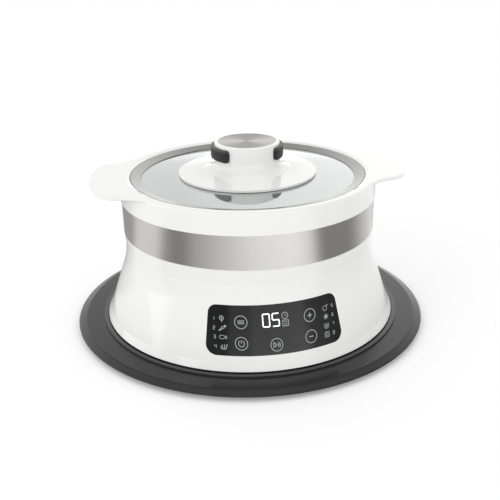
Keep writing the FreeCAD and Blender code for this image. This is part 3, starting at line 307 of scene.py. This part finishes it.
def draw_ring(form, across, up, radius, width):
    loops = []
    for size in (radius, radius - width):
        made = bmesh.ops.create_circle(form, cap_ends=False, radius=size, segments=RING_SIDES,
                                       matrix=Matrix.Translation((across, up, 0)))
        loops.append({edge for vert in made["verts"] for edge in vert.link_edges})
    bmesh.ops.bridge_loops(form, edges=list(loops[0] | loops[1]))


def draw_disc(form, across, up, radius):
    bmesh.ops.create_circle(form, cap_ends=True, radius=radius, segments=DISC_SIDES,
                            matrix=Matrix.Translation((across, up, 0)))


def draw_bar(form, across, up, length, width, turn=0.0):
    place = Matrix.Translation((across, up, 0)) @ Matrix.Rotation(math.radians(turn), 4, "Z")
    bmesh.ops.create_grid(form, x_segments=BAR_CUTS, y_segments=1, size=0.5,
                          matrix=place @ Matrix.Diagonal((length, width, 1, 1)))


def draw_stroke(form, start, end, width):
    reach = Vector(end) - Vector(start)
    draw_bar(form, (start[0] + end[0]) / 2, (start[1] + end[1]) / 2, reach.length, width,
             math.degrees(math.atan2(reach.y, reach.x)))


def draw_strokes(form, points, width, closed=False):
    points = list(points) + ([points[0]] if closed else [])
    for start, end in zip(points, points[1:]):
        draw_stroke(form, start, end, width)


def arc(across, up, reach, start=0.0, end=360.0, squash=1.0, count=16):
    """Points along an arc, its angles in degrees from the right."""
    angles = [math.radians(start + (end - start) * step / count) for step in range(count + 1)]
    return [(across + reach * math.cos(angle), up + reach * squash * math.sin(angle)) for angle in angles]


def corners(across, up, wide, tall):
    """The corners of a box round a point."""
    return [(across - wide / 2, up + tall / 2), (across + wide / 2, up + tall / 2),
            (across + wide / 2, up - tall / 2), (across - wide / 2, up - tall / 2)]


# Each bar of a digit: its place across in widths, its place up in half heights, and whether it
# stands upright. Then the bars that are lit for each digit.
SEGMENTS = {"a": (0, 1, 0), "b": (0.5, 0.5, 1), "c": (0.5, -0.5, 1), "d": (0, -1, 0),
            "e": (-0.5, -0.5, 1), "f": (-0.5, 0.5, 1), "g": (0, 0, 0)}
DIGITS = {"0": "abcdef", "1": "bc", "2": "abged", "3": "abgcd", "4": "fgbc", "5": "afgcd",
          "6": "afgedc", "7": "abc", "8": "abcdefg", "9": "abcdfg"}


def draw_digit(form, digit, across, up, wide, tall, width):
    """A seven-bar digit."""
    for name in DIGITS[digit]:
        place, level, upright = SEGMENTS[name]
        length = (tall / 2 if upright else wide) - width * BAR_GAP
        draw_bar(form, across + place * wide, up + level * tall / 2, length, width, UPRIGHT * upright)


def draw_leaf(form, across, up):
    draw_strokes(form, arc(across, up + 0.6, 1.9, squash=1.1), ICON_LINE, True)
    draw_strokes(form, [(across, up + 2.4), (across, up - 2.9)], ICON_LINE)
    draw_strokes(form, [(across - 1.4, up + 1.0), (across, up - 0.2), (across + 1.4, up + 1.0)], FINE_LINE)


def draw_carrot(form, across, up):
    root = [(across - 3.2, up - 2.4), (across + 0.4, up + 1.9), (across + 2.0, up + 0.4)]
    draw_strokes(form, root, 0.5, True)
    draw_strokes(form, [(across - 1.7, up - 0.6), (across + 0.2, up - 0.9)], FINE_LINE)
    draw_disc(form, across + 2.6, up + 2.0, 1.0)


def draw_fish(form, across, up):
    tail = [(across + 1.7, up), (across + 3.3, up + 1.3), (across + 3.3, up - 1.3)]
    draw_strokes(form, arc(across - 0.7, up, 2.6, squash=0.6), ICON_LINE, True)
    draw_strokes(form, tail, ICON_LINE, True)


def draw_stalks(form, across, up):
    bowl = [(across - 3.0, up + 0.3), (across - 1.8, up - 2.2), (across + 1.8, up - 2.2)]
    for shift, lean in ((-1.8, 0.7), (0.0, 1.1), (1.6, 1.8)):
        draw_strokes(form, [(across + shift, up - 2.2), (across + shift + lean, up + 1.4 + lean / 2)], 0.7)
    draw_strokes(form, bowl, ICON_LINE)


def draw_drumstick(form, across, up):
    draw_strokes(form, arc(across - 0.6, up - 0.5, 2.1), ICON_LINE, True)
    draw_strokes(form, [(across + 0.9, up + 0.9), (across + 2.4, up + 2.3)], 0.8)


def draw_berry(form, across, up):
    draw_disc(form, across, up, 1.5)
    for turn in range(0, 360, 45):
        reach = (math.cos(math.radians(turn)), math.sin(math.radians(turn)))
        draw_stroke(form, (across + 1.9 * reach[0], up + 1.9 * reach[1]),
                    (across + 2.6 * reach[0], up + 2.6 * reach[1]), 0.5)


def draw_warm(form, across, up):
    glass = [(across - 1.2, up + 1.1), (across + 1.2, up + 1.1), (across - 1.2, up - 1.1),
             (across + 1.2, up - 1.1)]
    draw_strokes(form, arc(across, up, 2.5, 120, 420), ICON_LINE)
    draw_strokes(form, glass, FINE_LINE, True)


def draw_pot(form, across, up):
    draw_strokes(form, corners(across, up, 4.4, 4.4), ICON_LINE, True)
    draw_strokes(form, arc(across, up, 1.1, count=12), FINE_LINE, True)


def draw_keys(form):
    """The five round keys and their signs."""
    for key in (MODE_KEY, POWER_KEY, START_KEY, MORE_KEY, LESS_KEY):
        draw_ring(form, *key, KEY_RADIUS, KEY_LINE)
    across, up = MODE_KEY
    for row in (-1.3, 0.0, 1.3):
        draw_bar(form, across, up + row, 6.0, 0.55)
    across, up = POWER_KEY
    draw_strokes(form, arc(across, up, 2.7, 120, 420), SIGN_LINE)
    draw_bar(form, across, up + 1.6, 2.8, SIGN_LINE, UPRIGHT)
    across, up = START_KEY
    arrow = [(across - 2.8, up + 2.2), (across - 2.8, up - 2.2), (across + 0.2, up)]
    draw_strokes(form, arrow, SIGN_LINE, True)
    for shift in (1.6, 3.0):
        draw_bar(form, across + shift, up, 4.2, SIGN_LINE, UPRIGHT)
    draw_bar(form, *MORE_KEY, 4.4, SUM_LINE)
    draw_bar(form, *MORE_KEY, 4.4, SUM_LINE, UPRIGHT)
    draw_bar(form, *LESS_KEY, 4.2, SUM_LINE)


def draw_display_signs(form):
    """The clock, and under it the square with two lines in it."""
    across, up = CLOCK
    draw_ring(form, across, up, CLOCK_RADIUS, DISPLAY_LINE)
    draw_strokes(form, [(across, up + 1.7), (across, up), (across + 1.3, up - 0.6)], ICON_LINE)
    across, up = SQUARE
    draw_strokes(form, corners(across, up, SQUARE_WIDE, SQUARE_TALL), DISPLAY_LINE, True)
    for row in (-0.9, 0.8):
        draw_bar(form, across, up + row, 3.4, ICON_LINE)


def draw_programmes(form):
    """The icons down both sides of the panel, numbered from the top left."""
    left = zip(LEFT_LEVELS, (draw_leaf, draw_carrot, draw_fish, draw_stalks))
    right = zip(RIGHT_LEVELS, (draw_drumstick, draw_berry, draw_warm, draw_pot))
    for number, (up, draw_icon) in enumerate([*left, *right], 1):
        side = -1 if number <= len(LEFT_LEVELS) else 1
        draw_icon(form, ICON_PLACE * side, up)
        draw_digit(form, str(number), NUMBER_PLACE * side, up, NUMBER_WIDE, NUMBER_TALL, ICON_LINE)


def lay_on_cone(form):
    """Lays a flat drawing on the front of the cone. Seen square from the front, it keeps its shape."""
    slope = (CREASE_RADIUS - CONE_RADIUS) / (CONE_LEVEL - CREASE_LEVEL)
    for vert in form.verts:
        across, up = vert.co.x / MILLIMETRES_PER_METRE, vert.co.y / MILLIMETRES_PER_METRE
        radius = CREASE_RADIUS - slope * (up - CREASE_LEVEL) + PRINT_PROUD
        vert.co = (across, -math.sqrt(radius * radius - across * across), up)
    bmesh.ops.recalc_face_normals(form, faces=form.faces)
    if sum(face.normal.y * face.calc_area() for face in form.faces) > 0:
        bmesh.ops.reverse_faces(form, faces=form.faces)


class SteamerLook(bpy.types.PropertyGroup):
    shell_colour: bpy.props.FloatVectorProperty(
        name="Shell colour", description="The white of the housing, the rim and the knob",
        subtype="COLOR", size=3, min=0, max=1, default=linear("#F4F4F3")[:3])
    tray_colour: bpy.props.FloatVectorProperty(
        name="Tray colour", description="The dark plastic of the base tray",
        subtype="COLOR", size=3, min=0, max=1, default=linear("#1A1A1B")[:3])
    print_colour: bpy.props.FloatVectorProperty(
        name="Print colour", description="The printed rings and signs on the panel",
        subtype="COLOR", size=3, min=0, max=1, default=linear("#A9ABAB")[:3])
    minutes: bpy.props.IntProperty(
        name="Minutes", description="The time that the display shows", default=5, min=0, max=99)


class SteamerStudio(bpy.types.PropertyGroup):
    room_level: bpy.props.FloatProperty(
        name="Room level", description="How bright the room around the steamer is", default=0.97, min=0)
    key_power: bpy.props.FloatProperty(
        name="Side light", description="The power of the soft light on the left", subtype="POWER",
        default=3.5, min=0)
    floor_glow: bpy.props.FloatProperty(
        name="Floor lift", description="How far the paper is lifted to white in the picture",
        default=0.14, min=0)
    floor_reach: bpy.props.FloatProperty(
        name="Floor", description="How far the floor runs", subtype="DISTANCE", default=12.0, min=1)


class STEAMER_OT_tray(bpy.types.Operator):
    """Dresses the base tray and its feet"""
    bl_idname = "steamer.tray"
    bl_label = "Tray"

    def execute(self, context):
        dress("base_tray", "tray_feet")
        return {"FINISHED"}


class STEAMER_OT_housing(bpy.types.Operator):
    """Dresses the housing with its steel band, cover and inlet"""
    bl_idname = "steamer.housing"
    bl_label = "Housing"

    def execute(self, context):
        dress("housing_shell", "trim_band", "bottom_cover", "cover_screws", "housing_feet", "mains_inlet",
              "inlet_pins")
        return {"FINISHED"}


class STEAMER_OT_heater(bpy.types.Operator):
    """Dresses the water tub, the heater and the boards inside"""
    bl_idname = "steamer.heater"
    bl_label = "Water tub and heater"

    def execute(self, context):
        dress("water_tub", "heater_plate", "heater_gasket", "heating_element", "heater_clamp",
              "heater_screws", "thermostat", "thermal_fuse", "temperature_sensor", "steam_ring",
              "heat_shield", "power_board", "transformer", "power_relay", "filter_capacitor",
              "board_capacitors", "heater_leads")
        return {"FINISHED"}


class STEAMER_OT_panel(bpy.types.Operator):
    """Dresses the touch panel and prints its signs and digits"""
    bl_idname = "steamer.panel"
    bl_label = "Touch panel"

    def execute(self, context):
        look = context.scene.steamer_look
        dress("panel_lens", "panel_tape", "control_board", "display_module", "light_guides", "touch_pads",
              "buzzer", "board_carrier")
        # Screen ink printed on the acrylic: flat, pale grey and lit a little.
        ink = finish_material("screen ink, printed grey", {
            "Base Color": [*look.print_colour, 1.0], "Roughness": 0.45,
            "Emission Color": [*look.print_colour, 1.0], "Emission Strength": 0.1})[0]
        signs = bmesh.new()
        draw_keys(signs)
        draw_display_signs(signs)
        draw_programmes(signs)
        lay_on_cone(signs)
        piece_from(signs, "panel_signs", ink, "housing")
        # Light bars of the display: even and white, nearly as bright as the paper behind the steamer.
        glow = finish_material("light bars, lit white", {
            "Base Color": linear("#FFFFFF"), "Roughness": 0.3,
            "Emission Color": linear("#FFFFFF"), "Emission Strength": 0.95})[0]
        digits = bmesh.new()
        for place, digit in zip(DIGIT_PLACES, f"{look.minutes:02d}"):
            draw_digit(digits, digit, place, DIGIT_LEVEL, DIGIT_WIDE, DIGIT_TALL, DIGIT_LINE)
        lay_on_cone(digits)
        piece_from(digits, "display_digits", glow, "housing")
        return {"FINISHED"}


class STEAMER_OT_bowl(bpy.types.Operator):
    """Dresses the bowl with its rim, the steam grid and the drip tray"""
    bl_idname = "steamer.bowl"
    bl_label = "Bowl, grid and drip tray"

    def execute(self, context):
        dress("bowl_rim", "cooking_bowl", "bowl_seal", "steam_grid", "drip_tray")
        return {"FINISHED"}


class STEAMER_OT_lid(bpy.types.Operator):
    """Dresses the glass lid and its knob"""
    bl_idname = "steamer.lid"
    bl_label = "Lid and knob"

    def execute(self, context):
        dress("lid_glass", "lid_ring", "lid_seal", "knob_body", "knob_disc", "left_grip", "right_grip",
              "knob_washer", "knob_retainer", "knob_screw")
        return {"FINISHED"}


def make_camera():
    """The camera at the photograph's place, turn and lens."""
    pitch, yaw, roll = (math.radians(angle) for angle in (CAMERA_PITCH, CAMERA_YAW, CAMERA_ROLL))
    ahead = Vector((math.sin(yaw) * math.cos(pitch), math.cos(yaw) * math.cos(pitch), -math.sin(pitch)))
    right = Vector((math.cos(yaw), -math.sin(yaw), 0.0))
    up = right.cross(ahead)
    level_right = math.cos(roll) * right + math.sin(roll) * up
    level_up = math.cos(roll) * up - math.sin(roll) * right
    axes = Matrix((level_right, level_up, -ahead)).transposed().to_4x4()
    turn = Matrix.Rotation(math.radians(-CAMERA_TURN), 4, "Z")
    data = bpy.data.cameras.new("studio camera")
    data.lens = CAMERA_LENS
    data.sensor_width = CAMERA_SENSOR
    data.clip_start = CAMERA_NEAR
    data.clip_end = CAMERA_FAR
    camera = bpy.data.objects.new("studio camera", data)
    camera.matrix_world = turn @ Matrix.Translation((0.0, -CAMERA_DISTANCE, CAMERA_HEIGHT)) @ axes
    bpy.context.scene.collection.objects.link(camera)
    bpy.context.scene.camera = camera


# The room as polished surfaces see it: degrees to the right of the camera, and brightness.
# The walls show in the shell and the panel, and the floor shows in the steel band.
WALLS = [(-180, 1.28), (-172, 1.08), (-150, 1.1), (-128, 1.3), (-75, 1.3), (-67, 0.35),
         (-20, 0.35), (-15, 0.8), (-2, 0.85), (3, 1.2), (42, 1.2), (50, 0.6),
         (70, 0.3), (110, 0.3), (125, 0.9), (165, 1.5), (180, 1.28)]
GROUND = [(-158, 0.3), (-111, 0.35), (-103, 0.87), (-76, 0.85), (-67, 0.2), (-50, 0.24),
          (-40, 0.5), (-30, 0.7), (-23, 0.88), (0, 1.1), (34, 1.32), (47, 1.2),
          (55, 0.4), (61, 0.26), (68, 0.32), (83, 0.29), (91, 0.36), (98, 0.52),
          (106, 0.72), (113, 0.76), (127, 1.0), (145, 0.65), (158, 0.5)]
# The same room by height: the sine of the angle above the floor, and a share of the wall's brightness.
HEIGHTS = [(0.0, 1.5), (0.1, 1.5), (0.2, 1.0), (0.5, 1.0), (0.72, 0.36), (1.0, 0.36)]
# The even light that matt surfaces get: a little less from the ceiling than from the walls.
EVEN_LIGHT = [(0.0, 1.14), (0.35, 1.14), (0.7, 0.88), (1.0, 0.88)]
# A ramp's colours end at one, so each stop holds its brightness as a share of this, and a strength
# brings it back.
BRIGHTEST = 2.0


def grey_stops(bands, first, last):
    """Colour stops for bands of brightness that run from the first place to the last."""
    return [((place - first) / (last - first), (*[level / BRIGHTEST] * 3, 1.0)) for place, level in bands]


def turn_round_steamer(tree, parts):
    """A place round the steamer, from 0 at its far side to 0.5 at the camera and on to 1."""
    ahead = add(tree, "ShaderNodeMath", {"operation": "SUBTRACT", 0: 0.0}, {1: parts.outputs["Y"]})
    angle = add(tree, "ShaderNodeMath", {"operation": "ARCTAN2"}, {
        0: parts.outputs["X"], 1: ahead.outputs[0]})
    to_share = {"operation": "MULTIPLY_ADD", 1: 1 / (2 * math.pi), 2: 0.5 + CAMERA_TURN / 360}
    share = add(tree, "ShaderNodeMath", to_share, {0: angle.outputs[0]})
    return add(tree, "ShaderNodeMath", {"operation": "FRACT"}, {0: share.outputs[0]}).outputs[0]


def make_room(studio):
    """A white room, and for polished surfaces its softboxes and the gaps between them."""
    world = bpy.data.worlds.new("studio room")
    bpy.context.scene.world = world
    world.use_nodes = True
    tree = world.node_tree
    tree.nodes.clear()
    way = add(tree, "ShaderNodeTexCoord").outputs["Generated"]
    parts = add(tree, "ShaderNodeSeparateXYZ", links={"Vector": way})
    walls = add(tree, "ShaderNodeValToRGB", links={"Fac": turn_round_steamer(tree, parts)},
                stops=grey_stops(WALLS, -180, 180))
    tall = add(tree, "ShaderNodeValToRGB", links={"Fac": parts.outputs["Z"]},
               stops=grey_stops(HEIGHTS, 0, 1))
    product = add(tree, "ShaderNodeVectorMath", {"operation": "MULTIPLY"},
                  {0: walls.outputs[0], 1: tall.outputs[0]})
    polished = add(tree, "ShaderNodeBackground", {"Strength": BRIGHTEST * BRIGHTEST},
                   {"Color": product.outputs[0]})
    even = add(tree, "ShaderNodeValToRGB", links={"Fac": parts.outputs["Z"]},
               stops=grey_stops(EVEN_LIGHT, 0, 1))
    matt = add(tree, "ShaderNodeBackground", {"Strength": BRIGHTEST * studio.room_level},
               {"Color": even.outputs[0]})
    path = add(tree, "ShaderNodeLightPath")
    room = add(tree, "ShaderNodeMixShader", links={
        0: path.outputs["Is Glossy Ray"], 1: matt.outputs[0], 2: polished.outputs[0]})
    add(tree, "ShaderNodeOutputWorld", links={"Surface": room.outputs[0]})


def white_paper(studio):
    # Matt white paper that keeps the shadow and is lifted to white where the camera or glass sees it.
    # Polished surfaces see its light and dark bands.
    material = new_material("white paper, matt")
    tree = material.node_tree
    paper = add(tree, "ShaderNodeBsdfDiffuse", {"Color": linear("#F7F7F7")})
    glow = add(tree, "ShaderNodeEmission", {"Color": linear("#FFFFFF"), "Strength": studio.floor_glow})
    bright = add(tree, "ShaderNodeAddShader", links={0: paper.outputs[0], 1: glow.outputs[0]})
    path = add(tree, "ShaderNodeLightPath")
    seen = add(tree, "ShaderNodeMath", {"operation": "MAXIMUM"}, {
        0: path.outputs["Is Camera Ray"], 1: path.outputs["Is Transmission Ray"]})
    white = add(tree, "ShaderNodeMixShader", links={
        0: seen.outputs[0], 1: paper.outputs[0], 2: bright.outputs[0]})
    point = add(tree, "ShaderNodeTexCoord").outputs["Object"]
    parts = add(tree, "ShaderNodeSeparateXYZ", links={"Vector": point})
    bands = add(tree, "ShaderNodeValToRGB", links={"Fac": turn_round_steamer(tree, parts)},
                stops=grey_stops(GROUND, -180, 180))
    banded = add(tree, "ShaderNodeEmission", {"Strength": BRIGHTEST}, {"Color": bands.outputs[0]})
    floor = add(tree, "ShaderNodeMixShader", links={
        0: path.outputs["Is Glossy Ray"], 1: white.outputs[0], 2: banded.outputs[0]})
    add(tree, "ShaderNodeOutputMaterial", links={"Surface": floor.outputs[0]})
    return material


def make_floor(studio):
    """A white paper floor."""
    form = bmesh.new()
    bmesh.ops.create_grid(form, x_segments=1, y_segments=1, size=studio.floor_reach)
    mesh = bpy.data.meshes.new("studio floor")
    form.to_mesh(mesh)
    form.free()
    mesh.materials.append(white_paper(studio))
    floor = bpy.data.objects.new("studio floor", mesh)
    bpy.context.scene.collection.objects.link(floor)


# The soft light stands to the left and in front, and looks at the middle of the housing.
SOFTBOX_PLACE, SOFTBOX_SIZE = (-1.5, -0.9, 1.1), 1.2
SOFTBOX_AIM = (0.0, 0.0, 0.08)


def make_softbox(studio):
    data = bpy.data.lights.new("softbox on the left", "AREA")
    data.shape = "DISK"
    data.size = SOFTBOX_SIZE
    data.energy = studio.key_power
    light = bpy.data.objects.new("softbox on the left", data)
    light.location = SOFTBOX_PLACE
    light.rotation_mode = "QUATERNION"
    light.rotation_quaternion = (Vector(SOFTBOX_AIM) - Vector(SOFTBOX_PLACE)).to_track_quat("-Z", "Y")
    bpy.context.scene.collection.objects.link(light)


class STEAMER_OT_studio(bpy.types.Operator):
    """Sets up the floor, the room, the soft light on the left and the camera"""
    bl_idname = "steamer.studio"
    bl_label = "Studio"

    def execute(self, context):
        studio = context.scene.steamer_studio
        make_room(studio)
        make_floor(studio)
        make_softbox(studio)
        make_camera()
        context.scene.view_settings.view_transform = "Standard"
        return {"FINISHED"}


class STEAMER_PT_pieces(bpy.types.Panel):
    """The steamer's pieces and studio"""
    bl_idname = "STEAMER_PT_pieces"
    bl_label = "Steamer"
    bl_space_type = "VIEW_3D"
    bl_region_type = "UI"
    bl_category = "Steamer"

    def draw(self, context):
        layout = self.layout
        look = context.scene.steamer_look
        studio = context.scene.steamer_studio
        for name in ("shell_colour", "tray_colour", "print_colour", "minutes"):
            layout.prop(look, name)
        for name in ("room_level", "key_power", "floor_glow", "floor_reach"):
            layout.prop(studio, name)
        for operator in OPERATORS:
            layout.operator(operator.bl_idname)


OPERATORS = (STEAMER_OT_studio, STEAMER_OT_tray, STEAMER_OT_housing, STEAMER_OT_heater, STEAMER_OT_panel,
             STEAMER_OT_bowl, STEAMER_OT_lid)
CLASSES = (SteamerLook, SteamerStudio, *OPERATORS, STEAMER_PT_pieces)


def register():
    for each in CLASSES:
        bpy.utils.register_class(each)
    bpy.types.Scene.steamer_look = bpy.props.PointerProperty(type=SteamerLook)
    bpy.types.Scene.steamer_studio = bpy.props.PointerProperty(type=SteamerStudio)


def unregister():
    del bpy.types.Scene.steamer_look
    del bpy.types.Scene.steamer_studio
    for each in reversed(CLASSES):
        bpy.utils.unregister_class(each)


def main():
    """Sets up the studio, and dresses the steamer."""
    register()
    bpy.ops.steamer.studio()
    bpy.ops.steamer.tray()
    bpy.ops.steamer.housing()
    bpy.ops.steamer.heater()
    bpy.ops.steamer.panel()
    bpy.ops.steamer.bowl()
    bpy.ops.steamer.lid()


if __name__ == "__main__":
    main()
